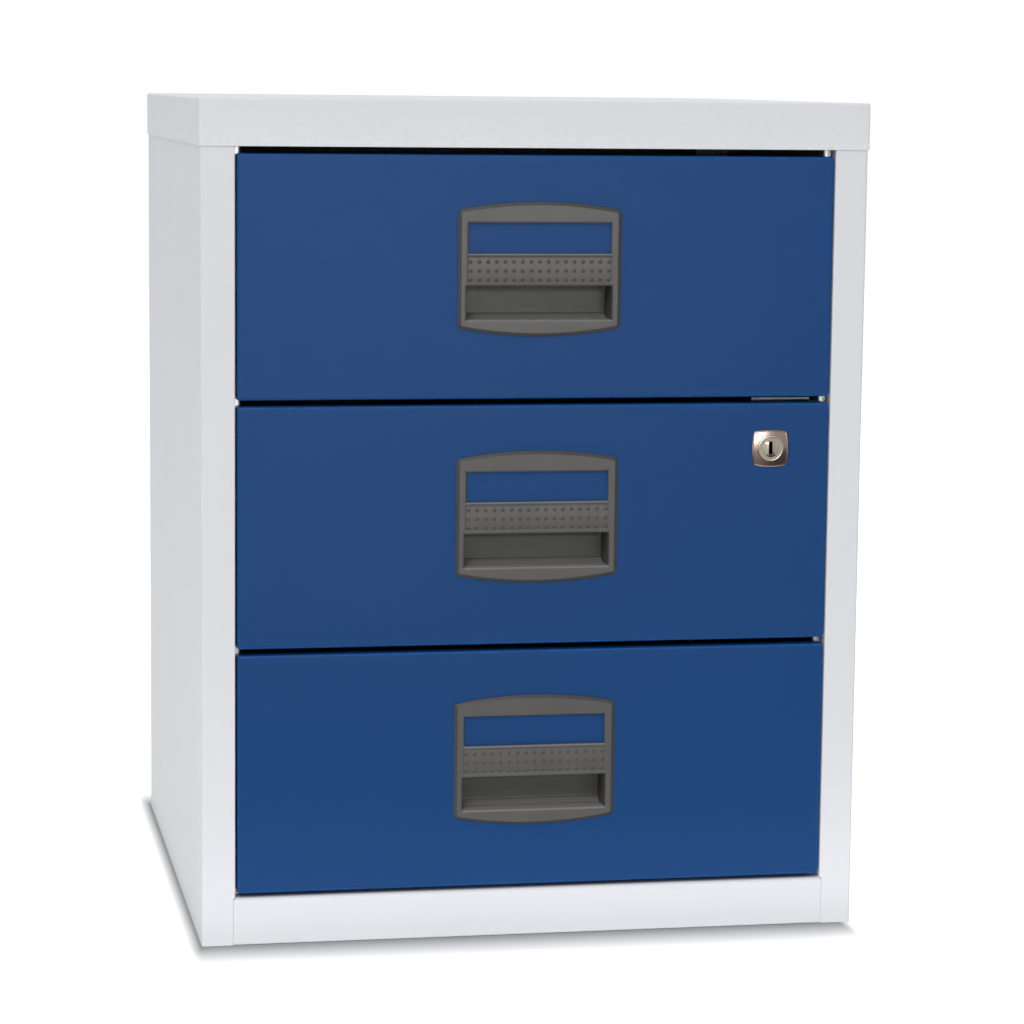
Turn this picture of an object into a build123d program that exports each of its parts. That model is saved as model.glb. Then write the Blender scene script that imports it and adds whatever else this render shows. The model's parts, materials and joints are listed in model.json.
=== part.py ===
from build123d import *
import os
from math import cos, radians, sin

# Steel shell, measured over the lid
cabinet_width = 413.0
cabinet_depth = 400.0
cabinet_height = 516.0

# Sheet steel
sheet = 0.8                  # lid, sides, back, base, drawer fronts and trays
bend_radius = 1.6            # outside radius of a fold that shows
fold_limit = 2.5             # most that radius can be, in sheet thicknesses
runner_sheet = 1.2           # uprights and runners

# Lid, side panels and base
lid_skirt = 28.7             # height of the lid's rim
stile_width = 21.3           # lid's outer face to the drawer opening
stile_return = 9.0           # depth of the fold along the opening
flange_width = 16.0          # rear and top flanges of the side panels
plinth_height = 29.5
plinth_lap = 1.3             # the plinth runs this far into each stile
plinth_ledge = 11.0          # depth of the fold along the plinth's top
relief_width = 4.8           # bend relief at the plinth's lower corners
relief_height = 0.9
seam = 0.15                  # open joint between two sheets side by side

# Uprights that carry the runners
upright_set_back = 12.0      # behind the drawer faces
upright_width = 20.0         # front to back
upright_reach = 26.0         # lid's outer face to the runner's back
rear_upright_inset = 1.2     # runner's rear end to the rear upright

# Ball runners
runner_thickness = 12.7
runner_height = 35.0
runner_rear_gap = 34.8       # between the runners and the back panel
runner_lift = 19.0           # tray floor to the middle of the runner
outer_lip_gap = 1.0          # outer channel's lips to the inner channel's web
ball_diameter = 4.0
ball_play = 0.1              # clearance above and below a ball
ball_pitch = 12.0
balls_in_row = 7
ball_pocket_play = 0.15      # clearance round a ball in its cage
cage_sheet = 0.8
cage_play = 0.6              # clearance each side of the cage's web
cage_lip = 1.0               # cage sheet beyond its ball pockets

# Drawers, from the plinth up
drawer_names = ["bottom", "middle", "top"]
drawer_gap = 3.8
gap_under_lid = 4.2
gap_over_plinth = 2.6
gap_beside_front = 1.2
front_depth = 10.0
tray_floor_lift = 12.0       # front's lower edge to the tray floor
tray_rim_drop = 45.8         # front's upper edge to the tray's rim
tray_rear_gap = 31.8         # between the trays and the back panel
hem_height = 8.0             # folded edge along the tray's rim

# Rivets that hold the runners
rivet_radius = 2.0
rivet_head_radius = 3.5
rivet_head = 0.8
rivet_fit = 0.05
tray_rivet_inset = 45.0      # from each end of the inner channel

# Handle, sizes from its own centre
handle_width = 101.0
handle_side_top = 36.4       # where the straight sides end
handle_side_bottom = 35.4
handle_crown = 5.0           # rise of the curved top and bottom edges
handle_corner = 3.0
handle_thickness = 2.2
handle_edge = 0.9            # rounding of the front edge
handle_lift = 4.5            # above the middle of the drawer front
window_border = 5.3          # handle's side to the label window
window_bottom = 8.9
window_top = 29.6
cup_border = 5.3             # handle's side to the finger cup
cup_top = -9.6
cup_bottom = -30.2
cup_depth = 22.0             # from the handle's face
cup_wall = 1.5
cup_fit = 0.3                # clearance of the cup in the sheet steel
snap_width = 8.0
snap_reach = 1.2
snap_length = 2.5
snap_spacing = 50.0

# Lock, placed from the middle front's right and upper edges
lock_inset = 37.1
lock_drop = 28.3
escutcheon_size = 23.4
escutcheon_bulge = 1.1       # rise of each curved side
escutcheon_corner = 2.0
escutcheon_thickness = 1.6
escutcheon_edge = 0.7
lock_head_radius = 8.2
lock_head = 1.0
lock_barrel_radius = 7.4
lock_barrel_length = 30.0    # from the drawer face
lock_hole_fit = 0.2
lock_plug_radius = 5.2
lock_plug_fit = 0.05
keyway_width = 2.1
keyway_height = 7.4
keyway_depth = 12.0
lock_nut_radius = 11.0
lock_nut = 4.0
lock_nut_fit = 0.05
cam_plate = 2.0
cam_tang = 6.0               # side of the square that drives the cam
cam_tang_fit = 0.05
cam_hub_rim = 4.0            # cam plate beyond its tang
cam_tip_rim = 2.0            # cam plate beyond its pin
cam_pin_radius = 2.0
cam_throw = 9.0              # lock axis to the pin
cam_turn = 90.0              # key turn, half below level and half above
cam_screw_radius = 2.0
cam_screw_head_radius = 3.5
cam_screw_head = 2.2
cam_screw_depth = 8.0
cam_screw_fit = 0.05

# Locking bar that the cam lifts
bar_plate = 2.0
bar_inset = 8.0              # lid's outer face to the bar
bar_width = 14.0
bar_play = 0.3               # clearance in its guides
bar_gap = 4.0                # behind the front upright
bar_end = 40.0               # bar beyond its outer hooks
hook_height = 8.0
hook_gap = 1.7               # hook's end to the tray
catch_gap = 2.0              # hook to catch, before the bar is lifted
catch_height = 8.0
catch_reach = 9.0
catch_plate = 3.0
catch_drop = 2.0             # tray rim to the catch's top
catch_set_back = 1.5         # behind the bar
pin_play = 0.5               # clearance of the pin in the bar's notch
prong = 4.5                  # arm below the notch
arm_side_gap = 0.7           # arm's end to the cam screw
arm_lip = 10.0               # depth of the fold along the arm's top
arm_drop = 1.5               # front's upper edge to the arm's top
guide_wall = 2.4
guide_height = 18.0
guide_lap = 6.0              # how far a guide takes in the bar
guide_low_gap = 18.0         # bar's lower end to the lower guide
guide_high_gap = 36.0        # upper guide to the bar's upper end

# Places worked out from the sizes above
fold = min(bend_radius, fold_limit * sheet)
edge_fold = fold / 2         # tighter fold along the drawer opening
half_width = cabinet_width / 2
front_reach = max(sheet, handle_thickness, escutcheon_thickness + lock_head)
face_y = front_reach - (cabinet_depth - sheet + front_reach) / 2
lid_front_y = face_y - sheet
lid_rear_y = lid_front_y + cabinet_depth
side_rear_y = lid_rear_y - sheet
back_y = side_rear_y - 2 * sheet
side_top = cabinet_height - sheet
lid_bottom = cabinet_height - lid_skirt
drawer_count = len(drawer_names)
gaps_height = gap_under_lid + gap_over_plinth + (drawer_count - 1) * drawer_gap
front_height = (lid_bottom - plinth_height - gaps_height) / drawer_count
front_half = half_width - stile_width - gap_beside_front
lowest_front = plinth_height + gap_over_plinth
front_bottoms = [lowest_front + i * (front_height + drawer_gap) for i in range(drawer_count)]
tray_inset = upright_reach + runner_thickness
tray_half = half_width - tray_inset
tray_wall = front_height - tray_floor_lift - tray_rim_drop
runner_y = face_y + upright_set_back
runner_length = back_y - runner_rear_gap - runner_y
front_upright_y = runner_y
rear_upright_y = runner_y + runner_length - rear_upright_inset - upright_width
upright_ys = (front_upright_y, rear_upright_y)
ball_row = runner_height / 2 - runner_sheet - ball_diameter / 2 - ball_play
inner_half_height = ball_row - ball_diameter / 2 - ball_play
cage_inset = upright_reach + runner_sheet + rivet_head + cage_play
inner_tip_inset = cage_inset + cage_sheet + cage_play
outer_lip_inset = tray_inset - runner_sheet - outer_lip_gap
ball_inset = (inner_tip_inset + outer_lip_inset) / 2
cage_length = balls_in_row * ball_pitch
cage_y = runner_y + (runner_length - cage_length) / 2
window_width = handle_width - 2 * window_border
cup_width = handle_width - 2 * cup_border
lock_x = front_half - lock_inset
middle_top = front_bottoms[drawer_names.index("middle")] + front_height
lock_z = middle_top - lock_drop
cam_y = face_y + lock_barrel_length
cam_rest = cam_turn / 2
pin_x = lock_x + cam_throw * cos(radians(cam_rest))
pin_z = lock_z - cam_throw * sin(radians(cam_rest))
bar_y = front_upright_y + upright_width + bar_gap
bar_back_y = bar_y + bar_plate
pin_end_y = bar_back_y + pin_play
hook_tip_inset = tray_inset - hook_gap
bar_inner_inset = bar_inset + bar_width


def block(x, y, z):
    """A box between a low and a high value on each axis."""
    size = (x[1] - x[0], y[1] - y[0], z[1] - z[0])
    return Pos(x[0], y[0], z[0]) * Box(*size, align=(Align.MIN, Align.MIN, Align.MIN))


def side_block(side, inset, y, z):
    """A box on one side of the cabinet, between two distances in from the lid's outer face."""
    x = sorted(side * (half_width - distance) for distance in inset)
    return block(x, y, z)


def plate(outline, y):
    """An outline drawn in x and z, given thickness between two values of y."""
    plane = Plane(origin=(0, y[1], 0), x_dir=(1, 0, 0), z_dir=(0, -1, 0))
    return extrude(plane * outline, amount=y[1] - y[0], dir=(0, -1, 0))


def rod(x, z, radius, y):
    """A round bar along y."""
    return Pos(x, (y[0] + y[1]) / 2, z) * Rot(90, 0, 0) * Cylinder(radius, y[1] - y[0])


def side_rod(side, inset, radius, y, z):
    """A round bar along x, between two distances in from the lid's outer face."""
    middle = side * (half_width - sum(inset) / 2)
    return Pos(middle, y, z) * Rot(0, 90, 0) * Cylinder(radius, abs(inset[1] - inset[0]))


def edges_at(solid, axis, **place):
    """The straight edges along one axis that lie at the given coordinates."""
    tolerance = 0.01
    found = solid.edges().filter_by(GeomType.LINE).filter_by(axis)
    for letter, value in place.items():
        found = found.filter_by(lambda e: abs(getattr(e.center(), letter) - value) < tolerance)
    return found


def make_lid():
    """A shallow tray of sheet steel, upside down, that laps over the sides."""
    x = (-half_width, half_width)
    y = (lid_front_y, lid_rear_y)
    shell = block(x, y, (lid_bottom, cabinet_height))
    shell = fillet(shell.edges().filter_by(Axis.Z), fold)
    shell = fillet(shell.faces().sort_by(Axis.Z)[-1].edges(), fold)
    inside_x = (x[0] + sheet, x[1] - sheet)
    inside_y = (y[0] + sheet, y[1] - sheet)
    return shell - block(inside_x, inside_y, (lid_bottom, side_top))


def make_side_panel(side):
    """A side wall with the front stile, the fold along the opening and the rear and top flanges."""
    front = (face_y, face_y + sheet)
    foot = stile_width - plinth_lap
    panel = side_block(side, (sheet, 2 * sheet), (face_y, side_rear_y), (0, side_top))
    panel += side_block(side, (sheet, stile_width), front, (plinth_height, side_top))
    panel += side_block(side, (sheet, foot), front, (0, plinth_height))
    opening_fold = (stile_width - sheet, stile_width)
    panel += side_block(side, opening_fold, (face_y, face_y + stile_return), (plinth_height, side_top))
    panel += side_block(side, (sheet, flange_width), (side_rear_y - sheet, side_rear_y), (0, side_top))
    panel += side_block(side, (sheet, flange_width), (face_y, side_rear_y), (side_top - sheet, side_top))
    outer_x = side * (half_width - sheet)
    panel = fillet(edges_at(panel, Axis.Z, X=outer_x, Y=face_y), fold)
    panel = fillet(edges_at(panel, Axis.Z, X=outer_x, Y=side_rear_y), fold)
    return fillet(edges_at(panel, Axis.Z, X=side * (half_width - stile_width), Y=face_y), edge_fold)


def make_back_panel():
    """A flat sheet between the side walls, against their rear flanges and on the base."""
    inner = half_width - 2 * sheet
    return block((-inner, inner), (back_y, back_y + sheet), (sheet, side_top - sheet))


def make_base():
    """The floor sheet, folded up at the front into the plinth and its ledge."""
    inner = half_width - 2 * sheet
    plinth_half = half_width - stile_width + plinth_lap - seam
    plinth_x = (-plinth_half, plinth_half)
    base = block((-inner, inner), (face_y + sheet, back_y + sheet), (0, sheet))
    base += block(plinth_x, (face_y, face_y + sheet), (0, plinth_height))
    base += block(plinth_x, (face_y, face_y + plinth_ledge), (plinth_height - sheet, plinth_height))
    base = fillet(edges_at(base, Axis.X, Y=face_y, Z=plinth_height), edge_fold)
    for side in (-1, 1):
        relief = (half_width - plinth_half, half_width - plinth_half + relief_width)
        base -= side_block(side, relief, (face_y, face_y + sheet), (0, relief_height))
    return base


def runner_middles():
    """Heights of the three pairs of runners."""
    return [bottom + tray_floor_lift + runner_lift for bottom in front_bottoms]


def make_upright(side, y):
    """A channel from the base to the lid, with a rivet hole for each runner."""
    z = (sheet, side_top - sheet)
    back = y + upright_width
    web = (upright_reach - runner_sheet, upright_reach)
    upright = side_block(side, web, (y, back), z)
    upright += side_block(side, (2 * sheet, upright_reach), (y, y + runner_sheet), z)
    upright += side_block(side, (2 * sheet, upright_reach), (back - runner_sheet, back), z)
    for middle in runner_middles():
        upright -= side_rod(side, web, rivet_radius + rivet_fit, y + upright_width / 2, middle)
    return upright


def make_outer_runner(side, middle):
    """The cabinet's half of a runner: a channel whose lips hold the ball rows in."""
    y = (runner_y, runner_y + runner_length)
    half = runner_height / 2
    web = (upright_reach, upright_reach + runner_sheet)
    channel = side_block(side, web, y, (middle - half, middle + half))
    for edge in (-half, half - runner_sheet):
        lip = (middle + edge, middle + edge + runner_sheet)
        channel += side_block(side, (upright_reach, outer_lip_inset), y, lip)
    for upright_y in upright_ys:
        channel -= side_rod(side, web, rivet_radius + rivet_fit, upright_y + upright_width / 2, middle)
    return channel


def tray_rivet_ys():
    """Places of the rivets along an inner channel."""
    return (runner_y + tray_rivet_inset, runner_y + runner_length - tray_rivet_inset)


def make_inner_runner(side, middle):
    """The drawer's half of a runner: a smaller channel on the tray's wall."""
    y = (runner_y, runner_y + runner_length)
    web = (tray_inset - runner_sheet, tray_inset)
    channel = side_block(side, web, y, (middle - inner_half_height, middle + inner_half_height))
    for edge in (-inner_half_height, inner_half_height - runner_sheet):
        lip = (middle + edge, middle + edge + runner_sheet)
        channel += side_block(side, (inner_tip_inset, tray_inset), y, lip)
    for rivet_y in tray_rivet_ys():
        channel -= side_rod(side, web, rivet_radius + rivet_fit, rivet_y, middle)
    return channel


def ball_places(side, middle):
    """Centres of the balls in the upper and lower rows of one runner."""
    x = side * (half_width - ball_inset)
    places = []
    for row in (-ball_row, ball_row):
        for i in range(balls_in_row):
            places.append((x, cage_y + (i + 0.5) * ball_pitch, middle + row))
    return places


def make_ball_cage(side, middle):
    """A folded strip between the channels, with a round pocket for each ball."""
    y = (cage_y, cage_y + cage_length)
    half = ball_row + cage_sheet / 2
    cage = side_block(side, (cage_inset, cage_inset + cage_sheet), y, (middle - half, middle + half))
    pocket_radius = ball_diameter / 2 + ball_pocket_play
    strip = (cage_inset, ball_inset + pocket_radius + cage_lip)
    for row in (-ball_row, ball_row):
        edge = middle + row
        cage += side_block(side, strip, y, (edge - cage_sheet / 2, edge + cage_sheet / 2))
    pockets = [Pos(*place) * Cylinder(pocket_radius, 2 * cage_sheet) for place in ball_places(side, middle)]
    return cage - pockets


def make_balls(middle):
    """Every ball of one drawer's two runners."""
    places = ball_places(-1, middle) + ball_places(1, middle)
    return Compound(children=[Pos(*place) * Sphere(ball_diameter / 2) for place in places])


def make_rivet(side, grip, y, z):
    """A round rivet with a low head at each end of the sheets it grips."""
    rivet = side_rod(side, grip, rivet_radius, y, z)
    rivet += side_rod(side, (grip[0] - rivet_head, grip[0]), rivet_head_radius, y, z)
    rivet += side_rod(side, (grip[1], grip[1] + rivet_head), rivet_head_radius, y, z)
    return rivet


def make_upright_rivets():
    """Rivets that fasten the outer channels to the uprights."""
    grip = (upright_reach - runner_sheet, upright_reach + runner_sheet)
    rivets = []
    for middle in runner_middles():
        for upright_y in upright_ys:
            for side in (-1, 1):
                rivets.append(make_rivet(side, grip, upright_y + upright_width / 2, middle))
    return Compound(children=rivets)


def make_tray_rivets(middle):
    """Rivets that fasten the inner channels to one tray."""
    grip = (tray_inset - runner_sheet, tray_inset + sheet)
    rivets = []
    for rivet_y in tray_rivet_ys():
        for side in (-1, 1):
            rivets.append(make_rivet(side, grip, rivet_y, middle))
    return Compound(children=rivets)


def handle_middle(bottom):
    """Height of a handle's centre on the drawer front whose lower edge is given."""
    return bottom + front_height / 2 + handle_lift


def cup_cut(bottom):
    """The hole for the finger cup through the drawer front and the tray."""
    half = cup_width / 2 + cup_wall + cup_fit
    middle = handle_middle(bottom)
    z = (middle + cup_bottom - cup_wall - cup_fit, middle + cup_top + cup_wall + cup_fit)
    return block((-half, half), (face_y, face_y + 2 * sheet), z)


def make_front(bottom, has_lock):
    """A drawer front: a shallow pan of sheet steel, open at the back."""
    x = (-front_half, front_half)
    y = (face_y, face_y + front_depth)
    z = (bottom, bottom + front_height)
    pan = block(x, y, z)
    pan = fillet(pan.edges().filter_by(Axis.Y), fold)
    pan = fillet(pan.faces().sort_by(Axis.Y)[0].edges(), fold)
    inside_x = (x[0] + sheet, x[1] - sheet)
    inside_z = (z[0] + sheet, z[1] - sheet)
    pan -= block(inside_x, (y[0] + sheet, y[1]), inside_z)
    pan -= cup_cut(bottom)
    if has_lock:
        pan -= rod(lock_x, lock_z, lock_barrel_radius + lock_hole_fit, (face_y, face_y + sheet))
    return pan


def make_tray(bottom):
    """An open tray of sheet steel with a folded hem along its sides and back."""
    x = (-tray_half, tray_half)
    y = (face_y + sheet, back_y - tray_rear_gap)
    z = (bottom + tray_floor_lift, bottom + tray_floor_lift + tray_wall)
    inside_x = (x[0] + sheet, x[1] - sheet)
    inside_y = (y[0] + sheet, y[1] - sheet)
    hem_z = (z[1] - hem_height, z[1])
    tray = block(x, y, z) - block(inside_x, inside_y, (z[0] + sheet, z[1]))
    tray += block((inside_x[0], inside_x[0] + sheet), inside_y, hem_z)
    tray += block((inside_x[1] - sheet, inside_x[1]), inside_y, hem_z)
    tray += block(inside_x, (inside_y[1] - sheet, inside_y[1]), hem_z)
    tray -= cup_cut(bottom)
    middle = z[0] + runner_lift
    for rivet_y in tray_rivet_ys():
        for side in (-1, 1):
            grip = (tray_inset, tray_inset + sheet)
            tray -= side_rod(side, grip, rivet_radius + rivet_fit, rivet_y, middle)
    return tray


def handle_outline():
    """The handle's outline: straight sides, bowed top and bottom, rounded corners."""
    half = handle_width / 2
    top = ThreePointArc((-half, handle_side_top), (0, handle_side_top + handle_crown), (half, handle_side_top))
    right = Line((half, handle_side_top), (half, -handle_side_bottom))
    low = -handle_side_bottom - handle_crown
    bottom = ThreePointArc((half, -handle_side_bottom), (0, low), (-half, -handle_side_bottom))
    left = Line((-half, -handle_side_bottom), (-half, handle_side_top))
    outline = make_face([top, right, bottom, left])
    return fillet(outline.vertices(), handle_corner)


def make_handle(bottom):
    """A moulded handle: a flat surround with a label window, and a finger cup with snap hooks."""
    middle = handle_middle(bottom)
    front = face_y - handle_thickness
    surround = plate(Pos(0, middle) * handle_outline(), (front, face_y))
    surround = fillet(surround.faces().sort_by(Axis.Y)[0].edges(), handle_edge)
    half = window_width / 2
    window_z = (middle + window_bottom, middle + window_top)
    surround -= block((-half, half), (front, face_y), window_z)
    half = cup_width / 2
    cup_back = front + cup_depth
    cup_z = (middle + cup_bottom, middle + cup_top)
    outside_x = (-half - cup_wall, half + cup_wall)
    outside_z = (cup_z[0] - cup_wall, cup_z[1] + cup_wall)
    handle = surround + block(outside_x, (face_y, cup_back), outside_z)
    snap_y = (face_y + 2 * sheet, face_y + 2 * sheet + snap_length)
    snap_z = (outside_z[0] - snap_reach, outside_z[1] + snap_reach)
    for snap_x in (-snap_spacing / 2, snap_spacing / 2):
        handle += block((snap_x - snap_width / 2, snap_x + snap_width / 2), snap_y, snap_z)
    return handle - block((-half, half), (front, cup_back - cup_wall), cup_z)


def pillow_outline(size, bulge, corner):
    """A square with bowed sides and rounded corners; size is taken across the bowed sides."""
    half = size / 2
    flat = half - bulge
    points = [(flat, flat), (-flat, flat), (-flat, -flat), (flat, -flat)]
    mids = [(0, half), (-half, 0), (0, -half), (half, 0)]
    sides = [ThreePointArc(points[i], mids[i], points[(i + 1) % 4]) for i in range(4)]
    outline = make_face(sides)
    return fillet(outline.vertices(), corner)


def make_escutcheon():
    """The lock's square cover plate, held under the rim of the lock's head."""
    y = (face_y - escutcheon_thickness, face_y)
    outline = pillow_outline(escutcheon_size, escutcheon_bulge, escutcheon_corner)
    cover = plate(Pos(lock_x, lock_z) * outline, y)
    cover = fillet(cover.faces().sort_by(Axis.Y)[0].edges(), escutcheon_edge)
    return cover - rod(lock_x, lock_z, lock_barrel_radius + lock_hole_fit, y)


def make_lock_housing():
    """The lock's barrel with its round head, bored for the plug."""
    head_y = (face_y - escutcheon_thickness - lock_head, face_y - escutcheon_thickness)
    housing = rod(lock_x, lock_z, lock_head_radius, head_y)
    housing += rod(lock_x, lock_z, lock_barrel_radius, (head_y[1], cam_y))
    return housing - rod(lock_x, lock_z, lock_plug_radius + lock_plug_fit, (head_y[0], cam_y))


def make_lock_nut():
    """The ring nut that clamps the barrel to the drawer front."""
    y = (face_y + sheet, face_y + sheet + lock_nut)
    ring = plate(Pos(lock_x, lock_z) * RegularPolygon(lock_nut_radius, 6), y)
    return ring - rod(lock_x, lock_z, lock_barrel_radius + lock_nut_fit, y)


def make_lock_plug():
    """The turning plug: keyway in front, square tang and screw hole behind."""
    front = face_y - escutcheon_thickness - lock_head
    plug = rod(lock_x, lock_z, lock_plug_radius, (front, cam_y))
    keyway_x = (lock_x - keyway_width / 2, lock_x + keyway_width / 2)
    keyway_z = (lock_z - keyway_height / 2, lock_z + keyway_height / 2)
    plug -= block(keyway_x, (front, front + keyway_depth), keyway_z)
    half = cam_tang / 2
    tang_y = (cam_y, cam_y + cam_plate)
    plug += block((lock_x - half, lock_x + half), tang_y, (lock_z - half, lock_z + half))
    screw_hole_y = (tang_y[1] - cam_screw_depth, tang_y[1])
    return plug - rod(lock_x, lock_z, cam_screw_radius + cam_screw_fit, screw_hole_y)


def make_cam():
    """The cam plate on the plug's tang, with the pin that lifts the locking bar."""
    y = (cam_y, cam_y + cam_plate)
    centre = (lock_x, lock_z)
    tip_radius = cam_pin_radius + cam_tip_rim
    hub = rod(*centre, cam_tang / 2 + cam_hub_rim, y)
    tip = rod(pin_x, pin_z, tip_radius, y)
    neck = Rectangle(cam_throw, 2 * tip_radius)
    neck = Pos(*centre) * Rot(0, 0, -cam_rest) * Pos(cam_throw / 2, 0) * neck
    cam = hub + tip + plate(neck, y)
    half = cam_tang / 2 + cam_tang_fit
    cam -= block((lock_x - half, lock_x + half), y, (lock_z - half, lock_z + half))
    return cam + rod(pin_x, pin_z, cam_pin_radius, (y[1], pin_end_y))


def make_cam_screw():
    """The screw that holds the cam on its tang."""
    seat = cam_y + cam_plate
    screw = rod(lock_x, lock_z, cam_screw_radius, (seat - cam_screw_depth, seat))
    return screw + rod(lock_x, lock_z, cam_screw_head_radius, (seat, seat + cam_screw_head))


def catch_bottom(bottom):
    """Height of the lower edge of a drawer's catch."""
    return bottom + tray_floor_lift + tray_wall - catch_drop - catch_height


def make_catch(bottom):
    """A lug on the tray's right wall, which a raised hook holds back."""
    y = (bar_back_y + catch_set_back, bar_back_y + catch_set_back + catch_plate)
    z = (catch_bottom(bottom), catch_bottom(bottom) + catch_height)
    return side_block(1, (tray_inset - catch_reach, tray_inset), y, z)


def hook_top(bottom):
    """Height of a hook's upper edge with the bar down."""
    return catch_bottom(bottom) - catch_gap


def bar_span():
    """Lower and upper end of the locking bar with the bar down."""
    return (hook_top(front_bottoms[0]) - hook_height - bar_end, hook_top(front_bottoms[-1]) + bar_end)


def make_locking_bar():
    """A flat bar with a hook for each drawer and an arm notched for the cam's pin."""
    y = (bar_y, bar_back_y)
    bar = side_block(1, (bar_inset, bar_inner_inset), y, bar_span())
    for bottom in front_bottoms:
        z = (hook_top(bottom) - hook_height, hook_top(bottom))
        bar += side_block(1, (bar_inner_inset, hook_tip_inset), y, z)
    arm_end = lock_x + cam_screw_head_radius + arm_side_gap
    arm_top = middle_top - arm_drop
    arm_x = (arm_end, half_width - bar_inner_inset)
    notch = cam_pin_radius + pin_play
    bar += block(arm_x, y, (pin_z - notch - prong, arm_top))
    lip_x = (arm_end, half_width - upright_reach)
    bar += block(lip_x, (bar_y - arm_lip, bar_y), (arm_top - bar_plate, arm_top))
    notch_x = (arm_end, lock_x + cam_throw + notch)
    return bar - block(notch_x, y, (pin_z - notch, pin_z + notch))


def make_guides():
    """Two blocks on the right wall that the bar slides in."""
    slot = (bar_inset - bar_play, bar_inset + guide_lap)
    slot_y = (bar_y - bar_play, bar_back_y + bar_play)
    outside_y = (slot_y[0] - guide_wall, slot_y[1] + guide_wall)
    low, high = bar_span()
    guides = []
    for start in (low + guide_low_gap, high - guide_high_gap - guide_height):
        z = (start, start + guide_height)
        guide = side_block(1, (2 * sheet, slot[1]), outside_y, z)
        guides.append(guide - side_block(1, slot, slot_y, z))
    return Compound(children=guides)


def build_nodes():
    """Every piece of the cabinet by its name."""
    nodes = {"top_lid": make_lid(), "back_panel": make_back_panel(), "base_and_plinth": make_base()}
    for side, hand in ((-1, "left"), (1, "right")):
        nodes[f"{hand}_side_panel"] = make_side_panel(side)
        for y, end in zip(upright_ys, ("front", "rear")):
            nodes[f"{hand}_{end}_upright"] = make_upright(side, y)
    nodes["upright_rivets"] = make_upright_rivets()
    for name, bottom, middle in zip(drawer_names, front_bottoms, runner_middles()):
        nodes[f"{name}_drawer_front"] = make_front(bottom, name == "middle")
        nodes[f"{name}_drawer_tray"] = make_tray(bottom)
        nodes[f"{name}_drawer_handle"] = make_handle(bottom)
        nodes[f"{name}_tray_rivets"] = make_tray_rivets(middle)
        nodes[f"{name}_lock_catch"] = make_catch(bottom)
        nodes[f"{name}_runner_balls"] = make_balls(middle)
        for side, hand in ((-1, "left"), (1, "right")):
            nodes[f"{name}_{hand}_outer_runner"] = make_outer_runner(side, middle)
            nodes[f"{name}_{hand}_inner_runner"] = make_inner_runner(side, middle)
            nodes[f"{name}_{hand}_ball_cage"] = make_ball_cage(side, middle)
    nodes["lock_escutcheon"] = make_escutcheon()
    nodes["lock_housing"] = make_lock_housing()
    nodes["lock_nut"] = make_lock_nut()
    nodes["lock_plug"] = make_lock_plug()
    nodes["lock_cam"] = make_cam()
    nodes["cam_screw"] = make_cam_screw()
    nodes["locking_bar"] = make_locking_bar()
    nodes["locking_bar_guides"] = make_guides()
    return nodes


os.makedirs("parts", exist_ok=True)
for node_name, solid in build_nodes().items():
    export_step(solid, f"parts/{node_name}.step")
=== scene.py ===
# %% [markdown]
# # A three-drawer steel cabinet
# A CAD model already holds every piece of this cabinet at its real size, with the joints that let its
# drawers slide. This lesson dresses that model. It sets up the camera and a plain studio, gives each
# piece its finish, and rebuilds the pieces that catch the eye as smooth surfaces worked out with numpy.
# Both models share one frame, in metres, so nothing has to be fitted by eye.

# %% Load the cabinet
import json
import math
from itertools import product

import bmesh
import bpy
import numpy as np
from mathutils import Matrix, Vector


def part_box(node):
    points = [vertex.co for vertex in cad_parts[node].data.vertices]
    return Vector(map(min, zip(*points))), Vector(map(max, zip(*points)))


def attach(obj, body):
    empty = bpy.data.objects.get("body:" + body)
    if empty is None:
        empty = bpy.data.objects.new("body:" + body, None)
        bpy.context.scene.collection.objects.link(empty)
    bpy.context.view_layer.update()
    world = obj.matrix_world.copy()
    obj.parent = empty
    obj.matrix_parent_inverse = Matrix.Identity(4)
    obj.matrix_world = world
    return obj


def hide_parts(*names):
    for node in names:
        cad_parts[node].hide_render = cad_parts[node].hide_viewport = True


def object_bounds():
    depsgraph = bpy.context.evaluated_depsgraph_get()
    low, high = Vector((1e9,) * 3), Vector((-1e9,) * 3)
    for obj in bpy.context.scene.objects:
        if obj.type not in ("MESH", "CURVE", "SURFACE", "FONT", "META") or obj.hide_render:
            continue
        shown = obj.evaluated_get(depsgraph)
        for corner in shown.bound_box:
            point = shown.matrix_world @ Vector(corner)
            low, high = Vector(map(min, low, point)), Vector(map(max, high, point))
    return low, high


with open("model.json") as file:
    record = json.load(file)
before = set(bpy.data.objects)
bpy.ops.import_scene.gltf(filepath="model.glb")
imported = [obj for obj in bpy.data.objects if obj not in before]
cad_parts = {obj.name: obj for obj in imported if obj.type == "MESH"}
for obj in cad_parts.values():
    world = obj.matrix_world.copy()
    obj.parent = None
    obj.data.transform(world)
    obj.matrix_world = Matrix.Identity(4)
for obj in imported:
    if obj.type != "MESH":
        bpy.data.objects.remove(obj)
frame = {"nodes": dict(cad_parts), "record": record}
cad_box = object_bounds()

mm = 0.001
drawers = ("top", "middle", "bottom")
hands = ("left", "right")

# %% [markdown]
# ## Camera
# The picture was taken from a little left of the cabinet, from about the height of its lid. A camera
# could be aimed with a constraint, but here its place, heading and lens are plain numbers, found once
# from the box's corners in the picture, so that each value can be read and changed.

# %% Camera
photo_pixels = 1024
focal_pixels = 3264.7
camera_place = Vector((-386, -2145, 528)) * mm
heading = math.radians(10.78)
dip = math.radians(7.54)
lean = math.radians(0.61)


def put_in_scene(name, data):
    """A new object of the scene, from a camera, a mesh or a lamp."""
    thing = bpy.data.objects.new(name, data)
    bpy.context.scene.collection.objects.link(thing)
    return thing


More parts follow.
